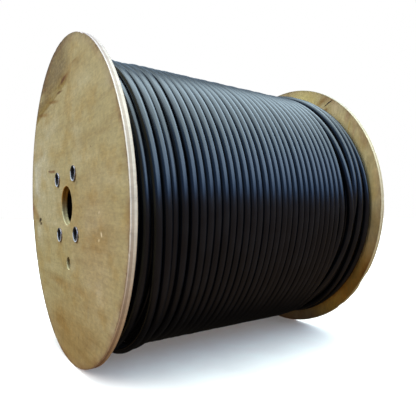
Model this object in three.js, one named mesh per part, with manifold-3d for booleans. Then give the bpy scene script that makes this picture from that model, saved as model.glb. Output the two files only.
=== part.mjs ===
// Plywood cable drum, full of black cable, lying on the rims of its two flanges.
// Millimetres, +Z up. The drum's axis runs along X, and the floor is at Z = 0.
import * as THREE from 'three';
import { LoftGeometry } from 'three/addons/geometries/LoftGeometry.js';
import { mergeVertices } from 'three/addons/utils/BufferGeometryUtils.js';
import Module from 'manifold-3d';

// Flanges: plain plywood discs.
const flangeDiameter = 500;
const flangeThickness = 9;
const rimEase = 0.8;
const innerWidth = 452;
const boreDiameter = 60;
const driveHoleDiameter = 20;
const driveHoleMargin = 1.7;

// Barrel: a fibreboard tube whose ends sit in grooves routed in the flanges.
const barrelDiameter = 216;
const barrelWall = 6;
const grooveDepth = 3;

// Tie tubes: four steel tubes that clamp the flanges, with both ends rolled outwards.
const tieCircleDiameter = 127;
const tieTwist = THREE.MathUtils.degToRad(2.9);
const tieTubeDiameter = 20;
const tieTubeWall = 1.5;
const lipOverhang = 3;
const lipHeight = 2.5;

// Cable: layers of turns, each lying in the grooves of the layer below.
const cableDiameter = 12.1;
const cableLayers = 11;
const windingSlack = 3;
const turnGrooveDepth = 4.4;

// Top layer, from the -X flange: turns still one layer down, loose turns, close turns,
// one turn alone in its lane, and a bundle that has climbed against the +X flange.
const droppedTurns = 1.5;
const dropDepth = 8;
const looseTurns = 5;
const looseGap = 1.4;
const laneGap = 3.4;
const bundleTurns = 4;
const bundleRise = 3;
const climbTurns = 0.15;

// Fits between pieces that touch.
const clearance = 0.3;

// Facets round each kind of circle.
const rimSides = 72;
const barrelSides = 32;
const holeSides = 16;
const lipSteps = 5;

const flangeRadius = flangeDiameter / 2;
const barrelRadius = barrelDiameter / 2;
const barrelInside = barrelRadius - barrelWall;
const grooveInside = barrelInside - clearance;
const grooveOutside = barrelRadius + clearance;
const driveHoleOffset = grooveInside - driveHoleMargin - driveHoleDiameter / 2;
const tieTubeRadius = tieTubeDiameter / 2;
const flangeOuterFace = innerWidth / 2 + flangeThickness;
const axisHeight = flangeRadius * Math.cos(Math.PI / rimSides);

const cableRadius = cableDiameter / 2;
const layerStep = cableDiameter * Math.sin(Math.PI / 3);
const barrelFacet = Math.cos(Math.PI / barrelSides);
const windingBore = barrelRadius + (windingSlack + clearance) / barrelFacet;
const windingCrest = windingBore + cableDiameter + (cableLayers - 1) * layerStep;
const windingEnd = innerWidth / 2 - clearance;

const wasm = await Module();
wasm.setup();

const axisX = new THREE.Vector3(1, 0, 0);
const axisY = new THREE.Vector3(0, 1, 0);
const axisZ = new THREE.Vector3(0, 0, 1);

// Keeps only the positions, and welds the vertices that share a place.
function weld(geometry) {
  const plain = new THREE.BufferGeometry().copy(geometry);
  plain.deleteAttribute('normal');
  plain.deleteAttribute('uv');
  return mergeVertices(plain);
}

// Turns a form made round Y so that it runs along X.
function alongX(geometry) {
  geometry.applyMatrix4(new THREE.Matrix4().makeBasis(axisZ, axisX, axisY));
  return weld(geometry);
}

// A turned ring: the outline is a closed list of [radius, place along the axis].
function turned(outline, sides, firstAngle = 0) {
  const points = outline.map(([radius, along]) => new THREE.Vector2(radius, along));
  points.push(points[0].clone());
  return alongX(new THREE.LatheGeometry(points, sides, firstAngle));
}

function toSolid(geometry) {
  const mesh = new wasm.Mesh({
    numProp: 3,
    vertProperties: new Float32Array(geometry.attributes.position.array),
    triVerts: new Uint32Array(geometry.index.array),
  });
  return new wasm.Manifold(mesh);
}

function toGeometry(solid) {
  const mesh = solid.getMesh();
  const geometry = new THREE.BufferGeometry();
  geometry.setAttribute('position', new THREE.BufferAttribute(mesh.vertProperties, 3));
  geometry.setIndex(new THREE.BufferAttribute(mesh.triVerts, 1));
  return geometry;
}

// A straight cutter through both faces of a flange, at a place on its face.
function drill(diameter, place) {
  const rod = new THREE.CylinderGeometry(diameter / 2, diameter / 2, flangeThickness * 3, holeSides);
  const cutter = alongX(rod);
  cutter.translate(0, place.y, place.z);
  return toSolid(cutter);
}

// The four tie tubes stand on one circle round the bore.
function tiePlaces() {
  const places = [];
  for (let corner = 0; corner < 4; corner += 1) {
    const angle = Math.PI / 4 + corner * Math.PI / 2 + tieTwist;
    const radius = tieCircleDiameter / 2;
    places.push({ y: -radius * Math.cos(angle), z: radius * Math.sin(angle) });
  }
  return places;
}

// A disc with an eased rim, its bore, tie holes and drive-pin hole, and the barrel's groove inside.
// It is turned by half a facet, so that it rests on one.
// inward is +1 where the barrel lies towards +X, and -1 where it lies towards -X.
function flangeGeometry(inward) {
  const half = flangeThickness / 2;
  const bore = boreDiameter / 2;
  const disc = turned([
    [bore, -half],
    [flangeRadius - rimEase, -half],
    [flangeRadius, -half + rimEase],
    [flangeRadius, half - rimEase],
    [flangeRadius - rimEase, half],
    [bore, half],
  ], rimSides, Math.PI / rimSides);
  const grooveFloor = inward * (half - grooveDepth);
  const grooveMouth = inward * (half + grooveDepth);
  const low = Math.min(grooveFloor, grooveMouth);
  const high = Math.max(grooveFloor, grooveMouth);
  const groove = turned([
    [grooveInside, low],
    [grooveOutside, low],
    [grooveOutside, high],
    [grooveInside, high],
  ], barrelSides);
  let solid = toSolid(disc).subtract(toSolid(groove));
  for (const place of tiePlaces()) {
    solid = solid.subtract(drill(tieTubeDiameter + 2 * clearance, place));
  }
  solid = solid.subtract(drill(driveHoleDiameter, { y: 0, z: -driveHoleOffset }));
  return toGeometry(solid);
}

// A tube as long as the space between the two groove floors, less its fit.
function barrelGeometry() {
  const half = innerWidth / 2 + grooveDepth - clearance;
  return turned([
    [barrelInside, -half],
    [barrelRadius, -half],
    [barrelRadius, half],
    [barrelInside, half],
  ], barrelSides);
}

// A tube whose ends roll over in half an ellipse and bear on the flanges' outer faces.
function tieTubeGeometry() {
  const inside = tieTubeRadius - tieTubeWall;
  const lipRadius = tieTubeRadius + lipOverhang;
  const seat = flangeOuterFace + clearance;
  const middle = (inside + lipRadius) / 2;
  const reach = (lipRadius - inside) / 2;
  const upperEnd = [[tieTubeRadius, seat]];
  for (let step = 0; step <= lipSteps; step += 1) {
    const angle = Math.PI * step / lipSteps;
    upperEnd.push([middle + reach * Math.cos(angle), seat + lipHeight * Math.sin(angle)]);
  }
  const lowerEnd = upperEnd.map(([radius, along]) => [radius, -along]).reverse();
  return turned([...upperEnd, ...lowerEnd], holeSides);
}

// How the length between the flanges is shared out. The first loose turn starts inside the flange,
// so a full turn further on it lies beside it.
const loosePitch = cableDiameter + looseGap;
const lanePitch = cableDiameter + laneGap;
const looseLength = looseTurns * loosePitch;
const closeLength = 2 * windingEnd - looseLength - 2 * lanePitch - (bundleTurns - 1) * cableDiameter;
const closeTurns = Math.floor(closeLength / cableDiameter);
const closePitch = closeLength / closeTurns;
const laneTurn = looseTurns + closeTurns;
const turnCount = laneTurn + 1 + bundleTurns;

// Where the cable's middle lies along the axis, after a number of turns from the -X flange.
function cablePlace(turns) {
  const spread = THREE.MathUtils.clamp;
  const loose = Math.min(turns, looseTurns) * loosePitch;
  const close = spread(turns - looseTurns, 0, closeTurns) * closePitch;
  const lane = spread(turns - laneTurn, 0, 2) * lanePitch;
  const bundle = Math.max(turns - laneTurn - 2, 0) * cableDiameter;
  return -windingEnd - cableRadius + loose + close + lane + bundle;
}

// How far the top of the cable lies from the axis, after that number of turns.
function cableCrest(turns) {
  const step = THREE.MathUtils.smoothstep;
  const climb = step(turns, droppedTurns, droppedTurns + climbTurns);
  const rise = step(turns, laneTurn + 1, laneTurn + 1 + climbTurns);
  return windingCrest - dropDepth * (1 - climb) + bundleRise * rise;
}

// Rounds to a nanometre, so that the ends of both halves of the winding lie in exactly one plane.
function toGrid(length) {
  return Math.round(length * 1e6) / 1e6;
}

// The winding's section in the plane at one angle round the axis: rounded crests over a straight bore.
// A turn further round, each crest has moved on to its neighbour's place, so the crests form a helix.
function windingSection(step) {
  const shoulder = 0.55 * cableRadius;
  const shoulderDrop = cableRadius - Math.sqrt(cableRadius ** 2 - shoulder ** 2);
  const outline = [];
  for (let turn = -1; turn <= turnCount + 1; turn += 1) {
    const before = ((turn - 1) * barrelSides + step) / barrelSides;
    const here = (turn * barrelSides + step) / barrelSides;
    const place = cablePlace(here);
    const crest = cableCrest(here);
    const grooveFloor = Math.min(crest, cableCrest(before)) - turnGrooveDepth;
    outline.push([grooveFloor, (place + cablePlace(before)) / 2]);
    outline.push([crest - shoulderDrop, place - shoulder]);
    outline.push([crest, place]);
    outline.push([crest - shoulderDrop, place + shoulder]);
  }
  outline.push([windingBore, outline.at(-1)[1]]);
  outline.push([windingBore, outline[0][1]]);
  const angle = 2 * Math.PI * (step % barrelSides) / barrelSides;
  return outline.reverse().map(([radius, along]) => (
    new THREE.Vector3(along, toGrid(radius * Math.cos(angle)), toGrid(radius * Math.sin(angle)))
  ));
}

// Two half-turn lofts meet as one helical layer, and a plain ring between the flanges trims its ends.
function windingGeometry() {
  const halfTurn = barrelSides / 2;
  const halves = [0, halfTurn].map((first) => {
    const sections = [];
    for (let step = first; step <= first + halfTurn; step += 1) {
      sections.push(windingSection(step));
    }
    return toSolid(weld(new LoftGeometry(sections, { capStart: true, capEnd: true })));
  });
  const room = turned([
    [barrelRadius, -windingEnd],
    [flangeRadius, -windingEnd],
    [flangeRadius, windingEnd],
    [barrelRadius, windingEnd],
  ], barrelSides);
  return toGeometry(halves[0].add(halves[1]).intersect(toSolid(room)));
}

function piece(name, geometry, finish) {
  const mesh = new THREE.Mesh(geometry, new THREE.MeshStandardMaterial(finish));
  mesh.name = name;
  return mesh;
}

const plywood = { color: 0xc2ae86, roughness: 0.75, metalness: 0 };
const fibreboard = { color: 0x8a6a45, roughness: 0.85, metalness: 0 };
const zincSteel = { color: 0xb9bcc4, roughness: 0.35, metalness: 1 };
const blackJacket = { color: 0x1c1e22, roughness: 0.45, metalness: 0 };

const drum = new THREE.Group();
drum.position.z = axisHeight;

const flangeCentre = (innerWidth + flangeThickness) / 2;
const leftFlange = piece('flange_left', flangeGeometry(1), plywood);
leftFlange.position.x = -flangeCentre;
const rightFlange = piece('flange_right', flangeGeometry(-1), plywood);
rightFlange.position.x = flangeCentre;
drum.add(leftFlange, rightFlange);

drum.add(piece('barrel', barrelGeometry(), fibreboard));

tiePlaces().forEach((place, index) => {
  const tube = piece(`tie_tube_${index + 1}`, tieTubeGeometry(), zincSteel);
  tube.position.set(0, place.y, place.z);
  drum.add(tube);
});

// The loose winding hangs on the top of the barrel.
const winding = piece('cable_winding', windingGeometry(), blackJacket);
winding.position.z = -windingSlack;
drum.add(winding);

const model = new THREE.Group();
model.add(drum);

export default model;
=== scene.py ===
import math

import bpy
import numpy as np
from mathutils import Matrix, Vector
from mathutils.geometry import delaunay_2d_cdt


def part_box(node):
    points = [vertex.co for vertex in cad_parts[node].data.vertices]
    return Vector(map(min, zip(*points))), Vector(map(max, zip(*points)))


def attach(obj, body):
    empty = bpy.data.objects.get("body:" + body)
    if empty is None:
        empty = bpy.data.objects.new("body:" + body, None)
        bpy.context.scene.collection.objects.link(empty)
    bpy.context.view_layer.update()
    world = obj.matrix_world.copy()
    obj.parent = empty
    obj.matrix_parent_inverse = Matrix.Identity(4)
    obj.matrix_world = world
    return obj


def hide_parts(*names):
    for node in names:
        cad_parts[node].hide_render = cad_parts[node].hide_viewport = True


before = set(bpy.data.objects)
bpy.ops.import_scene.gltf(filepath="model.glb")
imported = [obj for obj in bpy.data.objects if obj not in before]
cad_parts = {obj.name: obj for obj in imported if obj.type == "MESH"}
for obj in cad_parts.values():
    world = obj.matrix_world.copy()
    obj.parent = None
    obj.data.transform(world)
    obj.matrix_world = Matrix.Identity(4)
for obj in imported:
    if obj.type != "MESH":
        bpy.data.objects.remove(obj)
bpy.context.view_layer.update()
print("frame loaded")

# What the pieces share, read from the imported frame.
flangeLow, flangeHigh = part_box("flange_left")
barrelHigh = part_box("barrel")[1]
axisHeight = (flangeLow.z + flangeHigh.z) / 2
rimRadius = axisHeight  # so the rims touch the floor
outerFace = -flangeLow.x
flangeThickness = flangeHigh.x - flangeLow.x
innerFace = outerFace - flangeThickness
tieNames = [f"tie_tube_{number}" for number in range(1, 5)]
tieBoxes = [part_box(name) for name in tieNames]
tieCentres = [(low + high) / 2 for low, high in tieBoxes]


# Angles of the points round a circle, from the top of the drum towards -Y.
def anglesRound(count):
    return np.arange(count) * 2 * math.pi / count


# A point at a distance from the axis and an angle from the top: y = -r sin a, z = axis + r cos a.
def aroundAxis(along, radius, angle, height=axisHeight):
    along, radius, angle = np.broadcast_arrays(along, radius, angle)
    return np.stack([along, -radius * np.sin(angle), height + radius * np.cos(angle)], -1)


# Quads between the rows of a grid whose rows are closed rings. The first point's number is first.
def gridFaces(rows, columns, first=0, closeRows=False, flip=False):
    row = np.arange(rows if closeRows else rows - 1)[:, None]
    column = np.arange(columns)[None, :]
    nextRow = (row + 1) % rows
    nextColumn = (column + 1) % columns
    corners = [row * columns + column, row * columns + nextColumn,
               nextRow * columns + nextColumn, nextRow * columns + column]
    quads = np.stack(corners, -1).reshape(-1, 4) + first
    return quads[:, ::-1] if flip else quads


def addObject(name, data):
    made = bpy.data.objects.new(name, data)
    bpy.context.scene.collection.objects.link(made)
    return made


# A new mesh object with its place in its mesh. finishes gives the material of each face.
def makePiece(name, points, faces, materials, finishes=None, sharpAngle=40):
    mesh = bpy.data.meshes.new(name)
    faceLists = [face for group in faces for face in group.tolist()]
    mesh.from_pydata(points.tolist(), [], faceLists)
    for material in materials:
        mesh.materials.append(material)
    if finishes is not None:
        mesh.polygons.foreach_set("material_index", finishes.astype(np.int32))
    mesh.polygons.foreach_set("use_smooth", np.ones(len(faceLists), bool))
    mesh.set_sharp_from_angle(angle=math.radians(sharpAngle))
    mesh.update()
    return addObject(name, mesh)


# Fixes a piece to the drum's one body and hides the nodes it stands for. Its finish, slot, is not
# used.
def fitPiece(piece, slot, *nodes):
    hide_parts(*nodes)
    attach(piece, "root")


# A plain ring: an outline of points (x, radius) turned round an axis at a height.
def turnOutline(name, outline, sides, height, material):
    rings = [aroundAxis(x, radius, anglesRound(sides), height) for x, radius in outline]
    faces = gridFaces(len(outline), sides, closeRows=True)
    return makePiece(name, np.vstack(rings), [faces], [material])


# One shader node with its settings and sockets. A socket's value is a number, a colour or a socket.
def addNode(tree, kind, sockets=None, **settings):
    made = tree.nodes.new("ShaderNode" + kind)
    for name, value in settings.items():
        setattr(made, name, value)
    for name, value in (sockets or {}).items():
        setSocket(tree, made.inputs[name], value)
    return made


def setSocket(tree, socket, value):
    if isinstance(value, bpy.types.NodeSocket):
        tree.links.new(value, socket)
    elif socket.type == "RGBA" and len(value) == 3:
        socket.default_value = (*value, 1)
    else:
        socket.default_value = value


def calc(tree, operation, *values):
    made = addNode(tree, "Math", operation=operation)
    for socket, value in zip(made.inputs, values):
        setSocket(tree, socket, value)
    return made.outputs[0]


def times(tree, first, second):
    return calc(tree, "MULTIPLY", first, second)


# From toLow to toHigh as value goes from low to high.
def evenStep(tree, value, low, high, toLow, toHigh, kind="LINEAR"):
    made = addNode(tree, "MapRange", {"Value": value, "From Min": low, "From Max": high,
                                      "To Min": toLow, "To Max": toHigh}, interpolation_type=kind)
    return made.outputs["Result"]


# The same with soft ends.
def softStep(tree, value, low, high, toLow=0.0, toHigh=1.0):
    return evenStep(tree, value, low, high, toLow, toHigh, "SMOOTHSTEP")


# A value moved to and fro by a noise, by up to half of size either way.
def moved(tree, value, by, size):
    return calc(tree, "ADD", value, calc(tree, "MULTIPLY_ADD", by, size, -size / 2))


def blendColour(tree, share, first, second, mode="MIX"):
    made = addNode(tree, "Mix", data_type="RGBA", blend_type=mode)
    setSocket(tree, made.inputs[0], share)
    setSocket(tree, made.inputs[6], first)
    setSocket(tree, made.inputs[7], second)
    return made.outputs[2]


# A colour multiplied by a tint, in full or by a share.
def tintColour(tree, colour, tint, share=1.0):
    return blendColour(tree, share, colour, tint, "MULTIPLY")


def noise(tree, place, scale, detail=3.0, roughness=0.55, stretch=(1, 1, 1), shift=(0, 0, 0)):
    mapped = addNode(tree, "Mapping", {"Vector": place, "Scale": stretch, "Location": shift})
    made = addNode(tree, "TexNoise", {"Vector": mapped.outputs[0], "Scale": scale,
                                      "Detail": detail, "Roughness": roughness})
    return made.outputs["Fac"]


# A place's x and y, its height over the drum's axis, and its distance from the axis.
def placeParts(tree, place):
    x, y, z = addNode(tree, "SeparateXYZ", {"Vector": place}).outputs
    z = calc(tree, "SUBTRACT", z, axisHeight)
    squares = calc(tree, "ADD", times(tree, y, y), times(tree, z, z))
    return x, y, z, calc(tree, "SQRT", squares)


def startMaterial(name, roughness, metallic=0.0):
    material = bpy.data.materials.new(name)
    material.use_nodes = True
    tree = material.node_tree
    shader = tree.nodes["Principled BSDF"]
    shader.inputs["Roughness"].default_value = roughness
    shader.inputs["Metallic"].default_value = metallic
    place = addNode(tree, "TexCoord").outputs["Object"]
    return material, tree, shader, place


def addBump(tree, shader, height, distance, strength):
    bump = addNode(tree, "Bump", {"Height": height, "Distance": distance, "Strength": strength})
    tree.links.new(bump.outputs[0], shader.inputs["Normal"])


cableSettings = {
    "radius": 0.00605,
    "sides": 16,
    "stepsPerTurn": 120,
    "sharpAngle": 60,
    "crest": 0.2265,  # from the winding's own axis to the top of the cable
    "sag": 0.0021,  # the winding hangs this much below the drum's axis
    "firstTurn": 0.0112,  # from the near flange's inner face
    "start": -0.45,  # turns before the first time over the top
    "nearGaps": [0.0131, 0.0093, 0.0145, 0.0127, 0.0116, 0.0150, 0.0121, 0.0119],
    "closeGaps": [0.01206] * 10 + [0.0111] * 2 + [0.01212] * 10,
    "lastGap": 0.012,  # after the last close turn, where the keys take over
    "parallelAngle": 60,  # degrees from the top, where the turns run square to the axis
    "deeper": [(0.004, 0.55, 0.75), (0.008, 1.6, 1.85)],  # depth, and the turns in which it ends
    "squeezed": [(0.0045, 4.29, 0.22), (0.0017, 3.03, 0.12)],  # depth, turn, and its reach in turns
    "bottomHang": 0.0006,
    # The turns in which it becomes tight, how much further out it lies, and how much it hangs.
    "loose": ((2.81, 4.5), 0.0041, 0.0045),
    # Size, and the angles from the top and the turns in which it rises and falls.
    "topPush": (0.0022, ((290, 340), (28, 50)), ((3.75, 3.95), (8, 12))),
    # Size, the same angles, its first turns, and from which turn it fades to 1 / e in how many.
    "lean": (0.0115, ((85, 150), (200, 330)), (2.0, 2.2), (3.3, 11)),
    "pushes": [(0, -0.5), (45, -1.3), (60, -1.3), (75, 0.4), (90, 1.0), (105, -0.1), (120, 0.7),
               (180, 0), (360, -0.5)],  # degrees from the top, and millimetres along the axis
    "pushTurns": (1.2, 2.2),
    "pushWindow": 9,  # steps over which the pushes are drawn out
    "keyWindow": 13,
    "keyBlend": (-0.08, 0.02),  # turns from the first key
    "alongWander": 0.0006,
    "heightWander": 0.0005,
}
windingAxis = axisHeight - cableSettings["sag"]

# Where the last turns lie: degrees from the top of the last close turn, and in millimetres the
# place from the near flange's inner face and the height above the close turns.
lastTurns = [
    (60, 374.8, 0), (80, 375.4, 0), (98, 381.5, 0), (112, 375, 0), (125, 369.6, 0), (200, 370.1, 0),
    (330, 381, 0), (400, 387.4, 0.5), (420, 393.5, 0.8), (440, 399.5, 0.8), (458, 407.4, 0),
    (471, 401.5, 0), (482, 393, 0), (500, 384, 0), (560, 382, 0), (640, 387.5, 3), (690, 391.5, 5),
    (720, 394.5, 4.2), (730, 396.2, 4.5), (740, 398.9, 5.6), (750, 402.7, 6.2), (765, 408.7, 5),
    (780, 412, 4), (800, 413.8, 2.2), (810, 413.1, -0.5), (821, 411.1, -8), (835, 405.7, -10),
    (860, 399.8, -10), (930, 401.8, -8), (1020, 410.6, 2), (1080, 416.6, 5.6), (1120, 423, 4.6),
    (1140, 426, 4), (1160, 427.4, 2.6), (1175, 427.4, 1.2), (1190, 424.3, -0.5),
    (1205, 427.4, -1.5), (1225, 431.4, -1.5), (1280, 430.4, 0), (1380, 429.4, 2),
    (1440, 433.4, 1.5), (1485, 436.3, 3), (1500, 438.3, 4), (1512, 441.7, 4.3), (1522, 444.2, 4.3),
    (1540, 444.8, 4), (1560, 444.2, 2.5), (1600, 443.2, 0), (1700, 441.3, -2), (1740, 440.3, -9),
    (1770, 439.8, -10.5),
]


# From 0 at low to 1 at high, as 3t^2 - 2t^3 of the share t between them.
def smooth(value, low, high):
    share = np.clip((value - low) / (high - low), 0, 1)
    return share * share * (3 - 2 * share)


# Slow random waves along the cable: a sum of sines of the number of turns, with fixed seeds.
def wander(turns, seed, size):
    rng = np.random.default_rng(seed)
    rates = (0.37, 0.83, 1.31, 2.2)  # waves in a turn
    total = np.zeros_like(turns)
    for rate in rates:
        total += np.sin(2 * math.pi * (rate * rng.uniform(0.9, 1.1) * turns + rng.uniform()))
    return size * total / len(rates)


# A line of keys drawn out into a soft curve: a moving mean whose weights are a cosine bell.
def drawnOut(values, count):
    weights = np.hanning(count + 2)[1:-1]
    return np.convolve(np.pad(values, count // 2, mode="edge"), weights / weights.sum(), "valid")


# A tube along a path. At each step the path's tangent t and the way outwards from the drum's axis r
# give a section plane: u = r less its part along t, and v = t x u. A point of the tube is
# path + R (u cos b + v sin b).
def sweepTube(path, outwards, radius, sides):
    tangent = np.gradient(path, axis=0)
    tangent /= np.linalg.norm(tangent, axis=1, keepdims=True)
    across = outwards - (outwards * tangent).sum(1, keepdims=True) * tangent
    across /= np.linalg.norm(across, axis=1, keepdims=True)
    side = np.cross(tangent, across)
    around = anglesRound(sides)[None, :, None]
    ring = across[:, None] * np.cos(around) + side[:, None] * np.sin(around)
    return (path[:, None] + radius * ring).reshape(-1, 3)


# Fans that close both ends of a tube, each round a middle point that is added last.
def endFans(rows, sides, firstMiddle):
    column = np.arange(sides)
    after = (column + 1) % sides
    last = (rows - 1) * sides
    start = np.stack([np.full(sides, firstMiddle), after, column], -1)
    end = np.stack([np.full(sides, firstMiddle + 1), last + column, last + after], -1)
    return [start, end]


# A layer of cable, closed at both ends, from its place along the axis and its distance from it.
def layCable(name, along, distance, angle, sides, material):
    path = aroundAxis(along, distance, angle, windingAxis)
    points = sweepTube(path, aroundAxis(0, 1, angle, 0), cableSettings["radius"], sides)
    faces = [gridFaces(len(path), sides), *endFans(len(path), sides, len(points))]
    piece = makePiece(name, np.vstack([points, path[[0, -1]]]), faces, [material],
                      sharpAngle=cableSettings["sharpAngle"])
    fitPiece(piece, "black_jacket", "cable_winding")


# The top layer. The cable goes along the axis from lane to lane. Between two lanes it moves by
# t - sin(2 pi t) / 2 pi of the gap, so it runs square to the axis at the front and crosses at the
# back.
def topLayer(material):
    settings = cableSettings
    gaps = [*settings["nearGaps"], *settings["closeGaps"], settings["lastGap"]]
    lanes = np.cumsum([settings["firstTurn"], *gaps]) - innerFace
    lastClose = len(lanes) - 2
    keys = np.array(lastTurns)
    keyTurns = lastClose + keys[:, 0] / 360
    turns = np.arange(settings["start"], keyTurns[-1], 1 / settings["stepsPerTurn"])
    angle = turns * 2 * math.pi
    degrees = np.degrees(angle) % 360
    furthest = len(lanes) - 1.000001  # just short of the last lane
    passed = np.clip(turns - settings["parallelAngle"] / 360, 0, furthest)
    lane = np.floor(passed).astype(int)
    share = passed - lane
    crossing = share - np.sin(2 * math.pi * share) / (2 * math.pi)
    along = lanes[lane] + (lanes[lane + 1] - lanes[lane]) * crossing

    # The first two turns lie deeper. The fifth is squeezed at the front, the fourth at the top.
    height = np.zeros_like(turns)
    for depth, low, high in settings["deeper"]:
        height -= depth * (1 - smooth(turns, low, high))
    for depth, turn, reach in settings["squeezed"]:
        height -= depth * np.exp(-((turns - turn) / reach) ** 2)
    # The winding hangs a little at the bottom, and most where it is loose by the near flange.
    ends, room, hang = settings["loose"]
    height += settings["bottomHang"] * (1 - np.cos(angle))
    height += (1 - smooth(turns, *ends)) * (room - hang * np.cos(angle))
    # Over the top the next turns were pushed away from the near flange.
    size, (rise, fall), (start, end) = settings["topPush"]
    overTop = smooth(degrees, *rise) + 1 - smooth(degrees, *fall)
    along += size * overTop * smooth(turns, *start) * (1 - smooth(turns, *end))
    # Low on the front the turns lean away from the near flange, less and less along the drum.
    size, (rise, fall), start, (fadeFrom, fadeOver) = settings["lean"]
    fade = np.exp(-np.maximum(turns - fadeFrom, 0) / fadeOver)
    lean = smooth(degrees, *rise) * (1 - smooth(degrees, *fall))
    along += size * fade * smooth(turns, *start) * lean
    # Round the front each turn was pushed a little to and fro.
    pushed = drawnOut(np.interp(degrees, *np.transpose(settings["pushes"])), settings["pushWindow"])
    along += smooth(turns, *settings["pushTurns"]) * pushed / 1000

    # From the last close turn on the cable follows the keys.
    blendFrom, blendTo = settings["keyBlend"]
    keyed = smooth(turns, keyTurns[0] + blendFrom, keyTurns[0] + blendTo)
    window = settings["keyWindow"]
    keyAlong, keyHeight = [drawnOut(np.interp(turns, keyTurns, column / 1000), window)
                           for column in keys[:, 1:].T]
    along += keyed * (keyAlong - innerFace - along)
    height += keyed * (keyHeight - height)

    along += wander(turns, 4, settings["alongWander"])
    height += wander(turns, 9, settings["heightWander"])
    distance = settings["crest"] - settings["radius"] + height
    layCable("cable_top_layer", along, distance, angle, settings["sides"], material)


hiddenSettings = {
    "layerStep": 0.0105,  # how much deeper the second layer lies
    "gap": 0.0121,
    "nearRoom": 0.036,  # the second layer stops this far from the near flange
    "sides": 10,
    "stepsPerTurn": 72,
    "wander": 0.0004,
    "coreRadius": 0.2107,
    "coreSides": 120,
    "barrelGap": 0.0035,
    "flangeGap": 0.0003,
}


# The layer below is a tube on an even helix and shows only between loose turns. The layers under it
# are one plain ring.
def hiddenLayers(material):
    settings = hiddenSettings
    radius = cableSettings["radius"]
    start = innerFace - radius
    end = settings["nearRoom"] - innerFace
    count = int((start - end) / settings["gap"])
    turns = np.arange(0, count, 1 / settings["stepsPerTurn"])
    angle = turns * 2 * math.pi
    along = start + (end - start) * turns / count
    middle = cableSettings["crest"] - settings["layerStep"] - radius
    distance = middle + wander(turns, 21, settings["wander"])
    layCable("cable_second_layer", along, distance, angle, settings["sides"], material)

    reach = innerFace - settings["flangeGap"]
    outside = settings["coreRadius"]
    inside = barrelHigh.z - axisHeight + settings["barrelGap"]
    outline = [(-reach, outside), (reach, outside), (reach, inside), (-reach, inside)]
    core = turnOutline("cable_inner_layers", outline, settings["coreSides"], windingAxis, material)
    fitPiece(core, "black_jacket", "cable_winding")


jacketSettings = {
    "roughness": 0.22,
    "clean": (0.0038, 0.0040, 0.0050),
    "dusty": (0.0075, 0.0078, 0.0088),
    "dustNoise": (30, 4),
    "dustStep": (0.4, 0.75),
}


# Smooth black jacket: satin, with slight dust in soft patches.
def jacketMaterial():
    settings = jacketSettings
    material, tree, shader, place = startMaterial("blackJacket", settings["roughness"])
    dust = softStep(tree, noise(tree, place, *settings["dustNoise"]), *settings["dustStep"])
    colour = blendColour(tree, dust, settings["clean"], settings["dusty"])
    tree.links.new(colour, shader.inputs["Base Color"])
    return material


# Multiplies a colour inside soft ellipses on the face. Each mark is its middle's y and z, half
# length and half width in millimetres, turn in degrees, softness, strength and tint. breakUp frays
# the edges.
def addMarks(tree, place, colour, marks, breakUp):
    through = 50  # so large that only y and z count
    for y, z, length, width, turn, softness, strength, tint in marks:
        sockets = {"Vector": place, "Location": (0, y / 1000, z / 1000 + axisHeight),
                   "Rotation": (math.radians(turn), 0, 0),
                   "Scale": (through, length / 1000, width / 1000)}
        ellipse = addNode(tree, "Mapping", sockets, vector_type="TEXTURE").outputs[0]
        reach = addNode(tree, "VectorMath", {0: ellipse}, operation="LENGTH").outputs["Value"]
        ragged = moved(tree, reach, breakUp, 0.5)
        share = softStep(tree, ragged, 1 - softness, 1, strength, 0)
        colour = tintColour(tree, colour, tint, share)
    return colour


noiseRange = (0.25, 0.75)  # where most of a noise lies

# A step is from where to where, and often what it goes from and to. A noise is its scale, which is
# left out here as it is 1, its detail, roughness, stretch and shift.
veneerSettings = {
    "light": (0.534, 0.41, 0.193),
    "middle": (0.454, 0.338, 0.141),
    "dark": (0.366, 0.252, 0.091),
    "darkStep": (0.3, 0.52),
    "lightStep": (0.5, 0.75),
    "evened": 0.3,  # the share of plain middle colour
    "roughness": 0.62,
    "wave": 0.012,  # how far the grain wanders up and down
    "waveStretch": (0, 3, 7),
    "grainNoises": [(5, 0.62, (0, 4.5, 38)), (4, 0.7, (0, 16, 430)), (3, 0.65, (0, 100, 260)),
                    (1, 0.5, (0, 90, 1500))],
    "patchNoises": [(4, 0.7, (0, 58, 50), (0, 5, 2)), (4, 0.62, (0, 9, 15)),
                    (3, 0.6, (0, 14, 22), (0, 3, 7))],
    "fibre": (0.91, 1.08),
    "fleck": (0.8, 1.15),
    "mottle": (0.86, 1.12),
    "pale": ((0.48, 0.68), (1.09, 1.13, 1.3)),  # step and tint
    "golden": ((0.46, 0.66), (0.93, 0.85, 0.7)),
    "pore": ((0.66, 0.76, 0, 0.3), (0.55, 0.42, 0.3)),
    "relief": (0.6, 0.4),  # the shares of fibres and pores
    "bump": (0.00025, 0.5),
}

# The large pale bluish marks on the +Y half, at y 140 to 208 mm, are a painted sheen of the sky.
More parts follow.
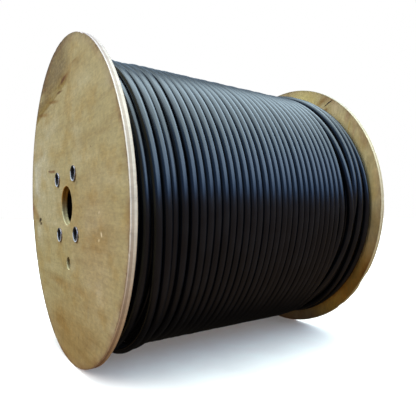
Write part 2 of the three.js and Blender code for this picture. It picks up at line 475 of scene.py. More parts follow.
nearMarks = [
    (90, 58.6, 26, 3.6, 3, 0.9, 1, (0.56, 0.38, 0.25)),
    (72, 58, 15, 4.2, 3, 0.9, 0.9, (0.66, 0.44, 0.26)),
    (104, 60.6, 11, 1.8, 3, 0.9, 0.9, (0.55, 0.4, 0.32)),
    (181.5, -24, 12, 4.2, 0, 0.6, 1, (0.14, 0.11, 0.05)),
    (188, -27, 8, 4.6, 0, 0.6, 1, (0.2, 0.16, 0.08)),
    (179.5, -31.8, 9, 3.2, -10, 0.6, 1, (0.2, 0.16, 0.08)),
    (175, -27.8, 5, 2.6, 0, 0.9, 0.8, (1.16, 1.12, 1.12)),
    (203, -19, 24, 15, 20, 1, 0.9, (0.74, 0.62, 0.46)),
    (219, -12, 26, 17, 20, 1, 0.9, (0.8, 0.63, 0.46)),
    (241, -4, 14, 16, 0, 0.9, 1, (0.62, 0.42, 0.3)),
    (150, 16, 26, 17, 0, 1, 0.8, (1.12, 1.16, 1.26)),
    (208, 60, 20, 40, 0, 1, 0.9, (1.16, 1.24, 1.44)),
    (203, -46, 24, 15, 0, 1, 1, (1.18, 1.26, 1.5)),
    (140, 60, 150, 150, 0, 1, 1, (1.12, 1.2, 1.46)),
    (205, 40, 60, 130, 0, 1, 0.9, (1.06, 1.1, 1.26)),
    (-130, -70, 170, 190, 0, 1, 1, (0.985, 0.9, 0.92)),
    (-56, 33, 13, 6, 0, 1, 0.8, (0.72, 0.74, 0.76)),
    (-48, 26, 4, 4, 0, 0.8, 0.7, (0.62, 0.62, 0.62)),
    (-127, 32, 22, 13, 0, 1, 0.7, (1.14, 1.15, 1.2)),
    (21, 93, 20, 12, 20, 1, 0.8, (1.1, 1.14, 1.28)),
    (-70, 48, 16, 9, -20, 1, 0.7, (1.04, 1.1, 1.24)),
    (-156, -38, 5, 3.4, 60, 0.8, 1, (2, 2.4, 3.7)),
    (-146, -46, 5, 2.6, -20, 0.8, 1, (1.6, 1.9, 2.7)),
    (-149, -10, 4.5, 2.2, -30, 0.8, 0.9, (1.4, 1.5, 1.9)),
    (-101, 165, 60, 22, 0, 1, 0.8, (1.06, 1.11, 1.22)),
    (-112, 40, 9, 5, 0, 1, 0.7, (1.12, 1.15, 1.24)),
    (20, -127, 175, 12, 0, 0.9, 0.8, (0.88, 0.77, 0.64)),
    (0, -215, 260, 115, 0, 0.95, 1, (0.82, 0.67, 0.5)),
    (-84, -198, 46, 15, -8, 1, 0.7, (0.82, 0.76, 0.7)),
    (-95, -145, 5, 34, 0, 1, 0.8, (0.96, 1, 1.14)),
    (-43, -198, 5, 4, 0, 0.9, 0.7, (0.58, 0.5, 0.42)),
    (-122, 76.5, 3.5, 1.6, 10, 0.8, 0.8, (0.56, 0.44, 0.36)),
    (-36, 120, 3, 1.4, 0, 0.8, 0.7, (0.6, 0.48, 0.4)),
    (-77, -3, 2.5, 1.6, 0, 0.8, 0.7, (0.64, 0.54, 0.46)),
    (45, 3, 14, 22, 0, 1, 0.5, (0.94, 0.86, 0.78)),
    (-8, 191.5, 44, 6.5, -7, 0.9, 0.9, (0.76, 0.6, 0.4)),
    (0, 191.5, 26, 3.6, -9, 0.8, 0.95, (0.64, 0.44, 0.27)),
    (24, 177.6, 30, 2.8, 3.6, 0.8, 1, (0.52, 0.38, 0.22)),
    (-60, 203.5, 20, 2, 0, 0.9, 0.8, (0.72, 0.58, 0.42)),
    (105, 194, 50, 20, 4, 1, 0.8, (0.84, 0.82, 0.8)),
    (-80, 190, 60, 40, 0, 1, 1, (0.96, 0.91, 0.8)),
    (-49, -121.5, 52, 13, 0, 1, 0.8, (0.9, 0.84, 0.74)),
    (-161, -122, 30, 12, 0, 1, 0.8, (0.92, 0.86, 0.76)),
    (-95, -190, 60, 40, 0, 1, 0.8, (0.94, 0.92, 0.88)),
    (132, 161, 60, 5, 8, 0.9, 0.9, (0.78, 0.62, 0.4)),
    (66, 171, 48, 4.4, 8, 0.9, 1, (0.66, 0.5, 0.28)),
    (116, 202, 18, 2.4, 6, 0.9, 0.7, (1, 0.76, 0.56)),
    (38, 236, 40, 9, 0, 1, 0.7, (1.16, 1.3, 1.44)),
]

# The two orange marks low on the face, at y -190 and -150 mm, are painted warm light in the shade.
farMarks = [
    (-122, 202.4, 14, 1.5, -26, 0.6, 1, (0.12, 0.07, 0.04)),
    (-127, 204.2, 11, 1.4, -20, 0.6, 1, (0.14, 0.08, 0.05)),
    (-108, 210, 24, 11, -24, 1, 1, (0.56, 0.4, 0.22)),
    (-118, 191, 9, 6, -30, 0.9, 1, (0.56, 0.4, 0.24)),
    (-60, 225, 70, 40, 0, 1, 1, (1.3, 1.34, 1.1)),
    (-142, 189, 15, 22, 0, 1, 1, (1.2, 1.2, 1.4)),
    (-170, 168, 9, 20, 12, 1, 1, (0.84, 0.74, 0.78)),
    (-176, 150, 2.5, 20, 10, 1, 0.9, (0.98, 0.86, 0.58)),
    (-187, 140, 6, 26, 8, 1, 0.9, (0.86, 0.76, 0.8)),
    (-195, 152, 2, 16, 8, 1, 0.8, (0.74, 0.64, 0.5)),
    (-210, 124, 22, 30, 0, 1, 1, (0.88, 0.82, 0.8)),
    (-205, 108, 3, 22, 6, 1, 0.8, (1.1, 1.14, 1.3)),
    (-240, 40, 18, 110, 0, 1, 1, (1.22, 1.24, 1.3)),
    (-238, -108, 95, 15, -65, 1, 1, (1.42, 1.46, 1.6)),
    (-222, 100, 14, 22, 0, 1, 0.6, (1.14, 1.18, 1.24)),
    (-236, -26, 32, 64, 0, 1, 1, (0.76, 0.64, 0.5)),
    (-218, -122, 9, 20, 20, 1, 0.8, (0.5, 0.42, 0.36)),
    (-190, -130, 130, 120, 0, 0.9, 0.95, (1.35, 0.8, 0.2)),
    (-150, -195, 100, 80, 0, 1, 1, (2.1, 1.65, 0.55)),
]

stripSettings = {
    "height": 0.18,  # over the axis, at y = 0
    "slope": 0.143,
    "ragged": 0.016,
    "edge": (-0.002, 0.004),
    "raggedEnd": 0.12,
    "end": (-0.06, 0.01),
    "tint": ((0.004, 0.03), (0.62, 0.51, 0.22), (0.53, 0.47, 0.38)),
    "streaks": ((0.5, 0.68, 0, 0.8), (0.78, 0.74, 0.6)),
    "flecks": ((0.5, 0.7, 0, 0.35), (0.9, 0.88, 0.84)),
}


# A browner strip of veneer above a ragged line that falls towards +Y.
def addStrip(tree, colour, y, z, broad, fleck):
    settings = stripSettings
    above = calc(tree, "ADD", calc(tree, "SUBTRACT", z, settings["height"]),
                 times(tree, y, settings["slope"]))
    above = moved(tree, above, broad, settings["ragged"])
    sideways = moved(tree, y, broad, settings["raggedEnd"])
    share = times(tree, softStep(tree, above, *settings["edge"]),
                  softStep(tree, sideways, *settings["end"]))
    rise, low, high = settings["tint"]
    tint = blendColour(tree, softStep(tree, above, *rise), low, high)
    for value, (step, toward) in ((broad, settings["streaks"]), (fleck, settings["flecks"])):
        tint = blendColour(tree, softStep(tree, value, *step), tint, toward)
    return tintColour(tree, colour, tint, share)


# Noises, steps and tints, in that order. Distances are from the rim's radius, or from the bore's.
edgeSettings = {
    "ragged": ((70, 4, 0.7), 0.014),  # and its size
    "worn": (0.001, 0.008),
    "rimEdgeSide": (-0.12, 0.12, 0.4, 1),
    "rimEdgeTint": ((-0.1, 0.1), (0.52, 0.38, 0.34), (0.42, 0.46, 0.4)),
    "insideRim": ((-0.016, -0.004), (0.35, 0.6, 0.35, 1), (0.86, 0.78, 0.82)),
    "nicks": ((240, 2), (0.58, 0.66), (-0.005, -0.001, 0, 0.8), (0.44, 0.32, 0.28)),
    "bore": ((0.004, 0.0005), (1.2, 1.18, 1.16)),
}


# Darker along the rim in ragged patches, most on the +Y side, browner low down and greyer high up;
# greyer just inside the rim, and nicked.
# Paler close to the bore.
def wearEdges(tree, place, colour, y, z, reach, haze):
    settings = edgeSettings

    def nearRadius(value, radius, low, high, *strengths):
        return softStep(tree, value, radius + low, radius + high, *strengths)

    kind, size = settings["ragged"]
    ragged = calc(tree, "MULTIPLY_ADD", noise(tree, place, *kind), size, reach)
    worn = times(tree, nearRadius(ragged, rimRadius, *settings["worn"]),
                 softStep(tree, y, *settings["rimEdgeSide"]))
    turn, low, high = settings["rimEdgeTint"]
    colour = tintColour(tree, colour, blendColour(tree, softStep(tree, z, *turn), low, high), worn)
    ends, hazeStep, tint = settings["insideRim"]
    insideRim = times(tree, nearRadius(reach, rimRadius, *ends), softStep(tree, haze, *hazeStep))
    colour = tintColour(tree, colour, tint, insideRim)
    kind, nickStep, ends, tint = settings["nicks"]
    nicks = softStep(tree, noise(tree, place, *kind), *nickStep)
    nicks = times(tree, nicks, nearRadius(reach, rimRadius, *ends))
    colour = tintColour(tree, colour, tint, nicks)
    ends, tint = settings["bore"]
    return tintColour(tree, colour, tint, nearRadius(reach, flangeSettings["bore"], *ends))


# Raw veneer. Grain runs along Y, or upright where grainTurn is 90. Broad streaks, fine fibres,
# short flecks and pores are noises drawn out along it, on a place that waves slowly.
def veneerMaterial(name, grainTurn=0, marks=(), darkStrip=False, seed=0):
    settings = veneerSettings
    material, tree, shader, place = startMaterial(name, settings["roughness"])
    turned = addNode(tree, "Mapping", {"Vector": place, "Rotation": (math.radians(grainTurn), 0, 0),
                                       "Location": (seed, seed, seed)}).outputs[0]
    wave = noise(tree, turned, 1, detail=1, stretch=settings["waveStretch"])
    shift = addNode(tree, "CombineXYZ", {"Z": times(tree, wave, settings["wave"])}).outputs[0]
    grain = addNode(tree, "VectorMath", {0: turned, 1: shift}, operation="ADD").outputs[0]
    broad, fine, fleck, pores = [noise(tree, grain, 1, *kind) for kind in settings["grainNoises"]]
    mottle, cloud, haze = [noise(tree, turned, 1, *kind) for kind in settings["patchNoises"]]

    colour = blendColour(tree, softStep(tree, broad, *settings["darkStep"]), settings["dark"],
                         settings["middle"])
    colour = blendColour(tree, softStep(tree, broad, *settings["lightStep"]), colour,
                         settings["light"])
    colour = blendColour(tree, settings["evened"], colour, settings["middle"])
    for value, kind in ((fine, "fibre"), (fleck, "fleck"), (mottle, "mottle")):
        colour = tintColour(tree, colour, evenStep(tree, value, *noiseRange, *settings[kind]))
    for value, kind in ((cloud, "pale"), (haze, "golden"), (pores, "pore")):
        step, tint = settings[kind]
        colour = tintColour(tree, colour, tint, softStep(tree, value, *step))

    y, z, reach = placeParts(tree, place)[1:]
    if darkStrip:
        colour = addStrip(tree, colour, y, z, broad, fleck)
    colour = addMarks(tree, place, colour, marks, broad)
    colour = wearEdges(tree, place, colour, y, z, reach, haze)
    tree.links.new(colour, shader.inputs["Base Color"])
    ofFibres, ofPores = settings["relief"]
    relief = calc(tree, "ADD", times(tree, fine, ofFibres), times(tree, pores, ofPores))
    addBump(tree, shader, relief, *settings["bump"])
    return material


# (share of the thickness from the outer face, colour)
plySteps = [
    (0, (0.4, 0.26, 0.17)), (0.02, (0.48, 0.33, 0.21)), (0.05, (0.84, 0.7, 0.52)),
    (0.16, (0.84, 0.7, 0.52)), (0.2, (0.42, 0.3, 0.2)), (0.27, (0.56, 0.415, 0.28)),
    (0.37, (0.44, 0.315, 0.205)), (0.43, (0.54, 0.4, 0.27)), (0.53, (0.46, 0.33, 0.215)),
    (0.58, (0.68, 0.54, 0.37)), (0.64, (0.8, 0.66, 0.47)), (0.73, (0.62, 0.48, 0.32)),
    (0.78, (0.78, 0.64, 0.45)), (0.88, (0.7, 0.56, 0.38)), (0.92, (0.46, 0.33, 0.22)),
    (0.97, (0.6, 0.46, 0.31)), (1, (0.46, 0.32, 0.19)),
]

plySettings = {
    "roughness": 0.75,
    "waver": ((26, 4, 0.55, (0.2, 1, 1)), 0.12),
    "noises": [(170, 4, 0.7, (0.35, 1, 1)), (14, 3, 0.55, (0.5, 1, 1))],  # fibres and patches
    "spreads": (0.2, 0.14),
    "dirt": ((60, 5, 0.7), (0.6, 0.72, 0, 0.5), (0.55, 0.42, 0.32)),
    "holeShade": ((0.13, 0.11), (-0.014, 0.018), (0.9, 0.92, 0.62), (0.98, 0.57, 0.09)),
    # Painted warm light on the lower rim, and painted shade on the top.
    "rolled": ((0.2, 0.22), (0.03, -0.2)),  # distance from the axis, and height over it
    "top": (0.1, 0.24),
    "bump": (0.0004, 0.6),
}


# The plies on the rim and in the holes, by depth from the outer face. Their lines waver a little.
def plyMaterial(name, rolledTint, topShadeTint, tint=(1, 1, 1)):
    settings = plySettings
    material, tree, shader, place = startMaterial(name, settings["roughness"])
    x, _, z, reach = placeParts(tree, place)
    depth = calc(tree, "SUBTRACT", outerFace, calc(tree, "ABSOLUTE", x))
    depth = calc(tree, "DIVIDE", depth, flangeThickness)
    kind, size = settings["waver"]
    depth = moved(tree, depth, noise(tree, place, *kind), size)
    ramp = addNode(tree, "ValToRGB", {"Fac": depth})
    stops = ramp.color_ramp.elements
    while len(stops) < len(plySteps):
        stops.new(0.5)
    for stop, (share, tone) in zip(stops, plySteps):
        stop.position = share
        stop.color = (*np.multiply(tone, tint), 1)
    colour = ramp.outputs["Color"]
    noises = [noise(tree, place, *kind) for kind in settings["noises"]]
    for value, spread in zip(noises, settings["spreads"]):
        factor = evenStep(tree, value, *noiseRange, 1 - spread, 1 + spread / 2)
        colour = tintColour(tree, colour, factor)
    kind, step, dirt = settings["dirt"]
    colour = tintColour(tree, colour, dirt, softStep(tree, noise(tree, place, *kind), *step))
    # The walls of the holes are tinted: yellower low down, and darker and browner higher up, where
    # the upper walls are in painted shade.
    holes, heights, low, high = settings["holeShade"]
    holeShade = blendColour(tree, softStep(tree, z, *heights), low, high)
    colour = tintColour(tree, colour, holeShade, softStep(tree, reach, *holes))
    # Painted warm light makes the lower rim browner, and painted shade makes the top darker and
    # greyer.
    rim, heights = settings["rolled"]
    rolled = times(tree, softStep(tree, z, *heights), softStep(tree, reach, *rim))
    colour = tintColour(tree, colour, rolledTint, rolled)
    colour = tintColour(tree, colour, topShadeTint, softStep(tree, z, *settings["top"]))
    tree.links.new(colour, shader.inputs["Base Color"])
    addBump(tree, shader, noises[0], *settings["bump"])
    return material


flangeSettings = {
    "ease": 0.0008,
    "easeRows": 4,
    "wallRows": 9,
    "bore": 0.03,
    "tieHole": 0.0103,
    "driveHole": 0.01,
    "driveOffset": 0.09,
    "rimSteps": 720,
    "boreSteps": 96,
    "holeSteps": 48,
    "dents": 26,
    "dentDepth": (0.0003, 0.0012),
    "dentReach": (0.6, 2.4),  # degrees, half its length round the rim
    "dentFade": 0.3,  # of the thickness
    "worn": 0.00012,  # how deep the rim's fine ripple goes
    "ripples": (23, 61, 127),  # waves round the rim
    # By side a seed and chips, each degrees from the top, half length and depth.
    "wear": {-1: (5, []), 1: (8, [(123, 6, 0.0024), (141, 3, 0.0016)])},
    "grooveInside": 0.1017,
    "grooveOutside": 0.1083,
    "grooveDepth": 0.003,
    "grooveSteps": 144,
    "nearest": 1e-7,  # points closer than this count as one
}


# How far the rim is worn in at each depth and angle, in metres. Dents start at either face: each is
# depth (1 + cos(pi t)) / 2 round the rim, t from -1 to 1, and fades across the edge by
# exp(-(s / fade)^2), s from that face as a share of the thickness.
def rimWear(shares, steps, seed, chips):
    settings = flangeSettings
    rng = np.random.default_rng(seed)
    count = settings["dents"]
    middle = rng.uniform(0, 360, count)
    reach = rng.uniform(*settings["dentReach"], count)
    shallow, deep = settings["dentDepth"]
    depth = shallow + (deep - shallow) * rng.uniform(0, 1, count) ** 2
    face = rng.integers(0, 2, count)
    # Larger chips in the outer edge are added to the random dents.
    chipMiddle, chipReach, chipDepth = np.reshape(chips, (-1, 3)).T
    middle = np.append(middle, chipMiddle)[:, None, None]
    reach = np.append(reach, chipReach)[:, None, None]
    depth = np.append(depth, chipDepth)[:, None, None]
    face = np.append(face, np.zeros(len(chipMiddle)))[:, None, None]
    angle = anglesRound(steps)[None, :]
    away = np.clip(((np.degrees(angle) - middle + 180) % 360 - 180) / reach, -1, 1)
    across = np.exp(-((shares[None, :, None] - face) / settings["dentFade"]) ** 2)
    dents = (depth * (1 + np.cos(math.pi * away)) / 2 * across).max(0)
    ripple = np.zeros((len(shares), steps))
    for rate in settings["ripples"]:
        shift = rng.uniform(0, 2 * math.pi, (len(shares), 1))
        ripple += 1 + np.sin(rate * angle + 0.5 * shift)
    return dents + settings["worn"] * ripple / (2 * len(settings["ripples"]))


# A disc made of rings. The rim and each hole's wall are rows of rings from the outer face to the
# inner one, and the flat faces are triangles between the first rings, and between the last. Its
# materials are those of the outer face, the inner face and the walls.
def makeFlange(name, side, materials):
    settings = flangeSettings
    ease = settings["ease"]
    quarter = np.linspace(0, math.pi / 2, settings["easeRows"])
    depthIn = ease * (1 - np.cos(quarter))
    cut = ease * (1 - np.sin(quarter))
    wall = np.linspace(ease, flangeThickness - ease, settings["wallRows"])[1:-1]
    depths = np.concatenate([depthIn, wall, flangeThickness - depthIn[::-1]])
    cuts = np.concatenate([cut, np.zeros(len(wall)), cut[::-1]])
    rowsIn = len(depths)
    pin = axisHeight - settings["driveOffset"]
    circles = [(0, axisHeight, rimRadius, settings["rimSteps"], -1),
               (0, axisHeight, settings["bore"], settings["boreSteps"], 1),
               (0, pin, settings["driveHole"], settings["holeSteps"], 1)]
    circles += [(centre.y, centre.z, settings["tieHole"], settings["holeSteps"], 1)
                for centre in tieCentres]
    points, walls, loops = [], [], []
    first = 0
    for y, z, radius, steps, bevel in circles:
        angle = anglesRound(steps)[None, :]
        reach = radius + bevel * cuts[:, None]
        if bevel < 0:
            reach = reach - rimWear(depths / flangeThickness, steps, *settings["wear"][side])
        x = side * (outerFace - depths[:, None]) + np.zeros_like(angle)
        rings = np.stack([x, y - reach * np.sin(angle), z + reach * np.cos(angle)], -1)
        points.append(rings.reshape(-1, 3))
        walls.append(gridFaces(rowsIn, steps, first, flip=(bevel * side < 0)))
        loops.append((first, steps))
        first += rowsIn * steps
    steps = settings["grooveSteps"]
    groove = []
    for radius in (settings["grooveOutside"], settings["grooveInside"]):
        for depth in (flangeThickness, flangeThickness - settings["grooveDepth"]):
            points.append(aroundAxis(side * (outerFace - depth), radius, anglesRound(steps)))
            groove.append(first)
            first += steps
    points = np.vstack(points)
    outside, floorOutside, inside, floorInside = groove
    column = np.arange(steps)
    after = (column + 1) % steps
    for low, high in ((outside, floorOutside), (floorInside, inside), (floorOutside, floorInside)):
        quads = np.stack([low + column, low + after, high + after, high + column], -1)
        walls.append(quads[:, ::-1] if side > 0 else quads)

    # A flat face between rings: the rim's, the holes' and, on the inner face, the groove's two.
    # Triangles whose corners all lie on one hole's ring fill that hole, so they go.
    def fillFace(rings, facing):
        starts, counts = np.transpose(rings)
        owner = np.repeat(np.arange(len(rings)), counts)
        ringStart = np.repeat(np.cumsum(counts) - counts, counts)
        local = np.arange(len(owner)) - ringStart
        places = starts[owner] + local
        edges = np.stack([ringStart + local, ringStart + (local + 1) % counts[owner]], -1)
        flat = points[places][:, 1:]
        made = delaunay_2d_cdt(flat.tolist(), edges.tolist(), [], 1, settings["nearest"])
        origin = np.array([ids[0] for ids in made[3]])
        triangles = origin[np.array(made[2])]
        owners = owner[triangles]
        oneRing = (owners == owners[:, :1]).all(1)
        keep = ~(oneRing & (owners[:, 0] > 0) & (owners[:, 0] < len(circles)))
        centre = points[places][triangles].mean(1)
        reach = np.hypot(centre[:, 1], centre[:, 2] - axisHeight)
        overGroove = (reach > settings["grooveInside"]) & (reach < settings["grooveOutside"])
        keep &= ~(overGroove & (owners >= len(circles)).all(1))
        triangles = places[triangles[keep]]
        corners = points[triangles]
        normal = np.cross(corners[:, 1] - corners[:, 0], corners[:, 2] - corners[:, 0])[:, 0]
        wrong = normal * facing < 0
        triangles[wrong] = triangles[wrong][:, ::-1]
        return triangles

    innerRings = [(start + (rowsIn - 1) * count, count) for start, count in loops]
    outer = fillFace(loops, side)
    inner = fillFace([*innerRings, (outside, steps), (inside, steps)], -side)
    wallCount = sum(map(len, walls))
    finishes = np.repeat([2, 0, 1], [wallCount, len(outer), len(inner)])
    piece = makePiece(name, points, [*walls, outer, inner], materials, finishes)
    piece.data.polygons.foreach_set("use_smooth", finishes == 2)  # the flat faces stay flat
    fitPiece(piece, "plywood", "flange_left" if side < 0 else "flange_right")


tieSettings = {
    "radius": 0.01,
    "wall": 0.0015,
    "lipReach": 0.0017,
    "lipHeight": 0.0019,
    "lipLean": 2,  # over 1, so the top of the lip lies near its outer edge
    "gap": 0.0003,
    "sides": 64,
    "steps": 14,
    "crestRow": 7,
    # From this row into the bore, and high on the flare past the crest, the tube is painted shade.
    "shadeRow": 11,
    "shadeAbove": 0.25,  # the cosine of the angle from the top
    "shadeRagged": 0.15,
}


# A tube turned round its own axis: both ends roll outwards in half an ellipse, leaning outwards.
def makeTieTube(name, centre, finishes):
    settings = tieSettings
    bore = settings["radius"] - settings["wall"]
    lip = settings["radius"] + settings["lipReach"]
    seat = outerFace + settings["gap"]
    sweep = np.linspace(0, math.pi, settings["steps"])
    share = ((1 - np.cos(sweep)) / 2) ** settings["lipLean"]
    radius = np.concatenate([[settings["radius"]], lip + (bore - lip) * share])
    along = np.concatenate([[seat], seat + settings["lipHeight"] * np.sin(sweep)])
    radius = np.concatenate([radius, radius[::-1]])
    along = np.concatenate([along, -along[::-1]])
    angle = anglesRound(settings["sides"])
    x = np.repeat(along[:, None], len(angle), 1)
    y = centre.y - radius[:, None] * np.sin(angle)
    z = centre.z + radius[:, None] * np.cos(angle)
    points = np.stack([x, y, z], -1).reshape(-1, 3)
    rows = len(radius)
    # Dull outside the lip's crest. Inside it: pale low on the flare, which is painted light, and
    # near-black in the bore and high on the flare, which is painted shade.
    rng = np.random.default_rng(int(name[-1]))
    row = np.minimum(np.arange(rows), rows - 1 - np.arange(rows))[:, None]
    spread = settings["shadeRagged"]
    above = np.cos(angle) + rng.uniform(-spread, spread, (rows, 1)) > settings["shadeAbove"]
    pastCrest = row >= settings["crestRow"]
    finish = pastCrest + np.zeros((1, len(angle)), int)
    finish[(row >= settings["shadeRow"]) | (pastCrest & above)] = 2
    piece = makePiece(name + "_rolled", points, [gridFaces(rows, len(angle), closeRows=True)],
                      finishes, finish.ravel())
    fitPiece(piece, "zinc_steel", name)


barrelSettings = {"wall": 0.006, "sides": 128}


# A plain tube, as its ends are hidden in the flanges.
def makeBarrel(material):
    settings = barrelSettings
    reach = barrelHigh.x
    outside = barrelHigh.z - axisHeight
    inside = outside - settings["wall"]
    outline = [(-reach, inside), (-reach, outside), (reach, outside), (reach, inside)]
    piece = turnOutline("barrel_tube", outline, settings["sides"], axisHeight, material)
    fitPiece(piece, "fibreboard", "barrel")


# A plain finish in soft patches, a little darker and paler than its colour.
def plainMaterial(name, colour, roughness):
    material, tree, shader, place = startMaterial(name, roughness)
    darker, paler = [[value * share for value in colour] for share in (0.85, 1.15)]
    made = blendColour(tree, noise(tree, place, 12), darker, paler)
    tree.links.new(made, shader.inputs["Base Color"])
    return material


steelSettings = {
    "grimeNoise": (160, 4, 0.65),  # scale, detail and roughness
    "grimeStep": (0.4, 0.68),
    "rough": ((0.3, 0.7), -0.06, 0.1),
    "bump": (0.0001, 0.3),
    "finishes": {  # clean and dirty colour, roughness and metal
        "dullSteel": ((0.5, 0.42, 0.42), (0.16, 0.12, 0.1), 0.24, 0.8),
        # The next two are a lit and a shaded copy of the plating: painted light low on the flare,
        # painted shade in the bore and high on the flare.
        "litZincSteel": ((0.97, 0.96, 0.95), (0.8, 0.76, 0.74), 0.22, 0.25),
        "paintedShadeSteel": ((0.035, 0.03, 0.026), (0.015, 0.012, 0.011), 0.75, 0),
    },
}


# Zinc plating, rougher where it is grimy.
def steelMaterial(name, clean, dirty, roughness, metallic):
    settings = steelSettings
    material, tree, shader, place = startMaterial(name, roughness, metallic)
    grime = noise(tree, place, *settings["grimeNoise"])
    colour = blendColour(tree, softStep(tree, grime, *settings["grimeStep"]), clean, dirty)
    tree.links.new(colour, shader.inputs["Base Color"])
    ends, smoother, rougher = settings["rough"]
    rough = evenStep(tree, grime, *ends, roughness + smoother, roughness + rougher)
    tree.links.new(rough, shader.inputs["Roughness"])
    addBump(tree, shader, grime, *settings["bump"])
    return material


jacket = jacketMaterial()
nearVeneer = veneerMaterial("nearVeneer", marks=nearMarks, darkStrip=True)
farVeneer = veneerMaterial("farVeneer", grainTurn=90, marks=farMarks, seed=0.6)
backVeneer = veneerMaterial("backVeneer", seed=1.7)
# Painted shade: one dark mark over the whole inner face of the near flange.
innerShadeMark = [(0, 0, 330, 330, 0, 0.9, 1, (0.36, 0.34, 0.42))]  # one mark over the whole face
shadedInnerVeneer = veneerMaterial("shadedInnerVeneer", marks=innerShadeMark, seed=1.7)
# After the name come the tints of the painted warm light low on the rim and of the painted shade on
# its top.
plies = plyMaterial("plywoodEdge", (0.98, 0.78, 0.53), (0.59, 0.56, 0.66))
farPlies = plyMaterial("farPlywoodEdge", (1, 0.88, 0.5), (0.68, 0.71, 0.84),
                       tint=(1, 0.99, 0.8))
steels = [steelMaterial(name, *finish) for name, finish in steelSettings["finishes"].items()]
fibreboard = plainMaterial("fibreboard", (0.2, 0.13, 0.08), 0.8)

topLayer(jacket)
hiddenLayers(jacket)
print("cable wound")
makeFlange("near_flange", -1, [nearVeneer, shadedInnerVeneer, plies])
makeFlange("far_flange", 1, [backVeneer, farVeneer, farPlies])
for tieName, tieCentre in zip(tieNames, tieCentres):
    makeTieTube(tieName, tieCentre, steels)
makeBarrel(fibreboard)
print("drum built")


stageSettings = {
    "groundAhead": (0.19, 0.135, 0.095),
    "groundBehind": (0.02, 0.0175, 0.015),
    "horizon": (0.38, 0.83, 2),
    "lowSky": (2.22, 3.24, 4.72),
    "highSky": (3.18, 4.1, 4.62),
    "leftHorizon": (0.09, 0.25, 0.62),
    "leftLow": (0.26, 0.54, 0.98),
    "leftHigh": (2.56, 3.26, 3.68),
    # Tints of parts of the sky.
    "overhead": (0.85, 0.85, 0.85),
    "farRight": (0.88, 0.85, 0.78),
    "trees": (1.28, 1.38, 1.2),  # low down behind the drum
    "leftBack": (0.55, 0.55, 0.55),
    "backdrop": (1, 1, 1),
    "leans": (0.12, 0.25, 0.3),  # of borders: behind, on the left, between halves
    "softLamp": ((-3, 0.2, 2.1), 2.4, 92, (1, 1, 1)),  # place, size, power and colour
    "fillLamp": ((1.6, -3, 0.5), 1.6, 30, (1, 0.72, 0.46)),
    "floor": ((0.9, 0.78, 0.66), 0.9),  # colour and roughness
    "floorReach": 12.0,
    "floorGlow": 0.12,
    "glowColour": (1, 0.93, 0.86),
}

# Steps between parts of the sky, of a direction's x, y or z.
skySteps = {
    "rightHalf": (-0.14, 0.14),
    "groundBehind": (-0.4, 0.25),
    "behindRight": (0.36, 0.47, 0.035, 0),
    "behind": (0.28, 0.6, 1, 0.1),
    "ahead": (-0.25, 0.15, 1.05, 1.28),
    "lowSky": (0.14, 0.48),
    "highSky": (0.5, 0.85),
    "farRight": (0.58, 0.72),
    "treesRight": (0.38, 0.5, 1, 0.3),
    "treesUp": (0.46, 0.58, 1, 0),
    "treesBehind": (0.55, 0.68),
    "overhead": (0.84, 0.96),
    "overheadRight": (0.02, 0.22),
    "rightGround": (0.085, 0.25),
    "leftLow": (0.3, 0.72),
    "leftHigh": (0.66, 0.88),
    "leftBack": (0.38, 0.66),
    "leftGround": (0.06, 0.24),
}


# A wide soft lamp, aimed at the drum and kept out of the cable's reflections.
def makeLamp(name, place, size, power, colour):
    data = bpy.data.lights.new(name, "AREA")
    data.shape = "DISK"
    data.size = size
    data.energy = power
    data.color = colour
    lamp = addObject(name, data)
    lamp.location = place
    aim = Vector((0, 0, axisHeight)) - lamp.location
    lamp.rotation_euler = aim.to_track_quat("-Z", "Y").to_euler()
    lamp.visible_glossy = False


# The floor is pale and hidden from reflections, so it doesn't light the drum from below.
def makeFloor():
    settings = stageSettings
    corners = settings["floorReach"] * np.array([[-1, -1, 0], [1, -1, 0], [1, 1, 0], [-1, 1, 0]])
    material = plainMaterial("paleFloor", *settings["floor"])
    shader = material.node_tree.nodes["Principled BSDF"]
    shader.inputs["Emission Color"].default_value = (*settings["glowColour"], 1)
    shader.inputs["Emission Strength"].default_value = settings["floorGlow"]
    floor = makePiece("floor", corners, [np.array([[0, 1, 2, 3]])], [material])
    floor.visible_diffuse = False
    floor.visible_glossy = False


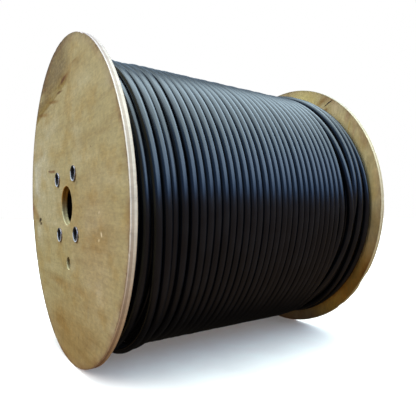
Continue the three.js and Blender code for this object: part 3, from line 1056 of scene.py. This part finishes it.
# A soft sky: dark below, bluish low down, white high up, brightest at +X and dim behind it.
def makeSky():
    settings = stageSettings
    world = bpy.data.worlds.new("studio")
    bpy.context.scene.world = world
    world.use_nodes = True
    tree = world.node_tree
    direction = addNode(tree, "TexCoord").outputs["Generated"]
    x, y, up = addNode(tree, "SeparateXYZ", {"Vector": direction}).outputs

    def step(name, value):
        return softStep(tree, value, *skySteps[name])

    def blend(name, value, first):
        return blendColour(tree, step(name, value), first, settings[name])

    ground = blend("groundBehind", y, settings["groundAhead"])
    behindLean, leftLean, halfLean = settings["leans"]
    behind = calc(tree, "MULTIPLY_ADD", x, behindLean, y)
    behind = calc(tree, "ADD", behind, step("behindRight", x))
    high = blend("highSky", up, blend("lowSky", up, settings["horizon"]))
    high = tintColour(tree, high, times(tree, step("behind", behind), step("ahead", y)))
    high = tintColour(tree, high, settings["farRight"], step("farRight", x))
    trees = times(tree, step("treesRight", x), step("treesUp", up))
    trees = times(tree, trees, step("treesBehind", y))
    high = tintColour(tree, high, settings["trees"], trees)
    overhead = times(tree, step("overhead", up), step("overheadRight", x))
    high = tintColour(tree, high, settings["overhead"], overhead)
    rightSky = blendColour(tree, step("rightGround", up), ground, high)

    above = calc(tree, "MULTIPLY_ADD", y, leftLean, up)
    leftSky = blend("leftHigh", above, blend("leftLow", up, settings["leftHorizon"]))
    leftSky = tintColour(tree, leftSky, settings["leftBack"], step("leftBack", y))
    leftSky = blendColour(tree, step("leftGround", up), ground, leftSky)

    right = step("rightHalf", calc(tree, "MULTIPLY_ADD", up, halfLean, x))
    sky = blendColour(tree, right, leftSky, rightSky)
    seen = addNode(tree, "LightPath").outputs["Is Camera Ray"]
    colour = blendColour(tree, seen, sky, settings["backdrop"])
    tree.links.new(colour, tree.nodes["Background"].inputs["Color"])


cameraSettings = {
    "place": (-0.4126, -0.6818, 0.2416),
    "turn": 38.01,  # degrees from +Y towards +X
    "tilt": -3.88,
    "lens": 35.91,
    "shift": (-0.0934, 0.0750),
    "clipStart": 0.01,
}


def makeCamera():
    settings = cameraSettings
    data = bpy.data.cameras.new("camera")
    data.lens = settings["lens"]
    data.shift_x, data.shift_y = settings["shift"]
    data.clip_start = settings["clipStart"]
    camera = addObject("camera", data)
    camera.location = settings["place"]
    tilt, turn = math.radians(90 + settings["tilt"]), math.radians(settings["turn"])
    camera.rotation_euler = (tilt, 0, -turn)
    bpy.context.scene.camera = camera


makeFloor()
makeSky()
for lampName in ("softLamp", "fillLamp"):
    makeLamp(lampName, *stageSettings[lampName])
makeCamera()
bpy.context.scene.view_settings.view_transform = "Standard"
print("stage set")
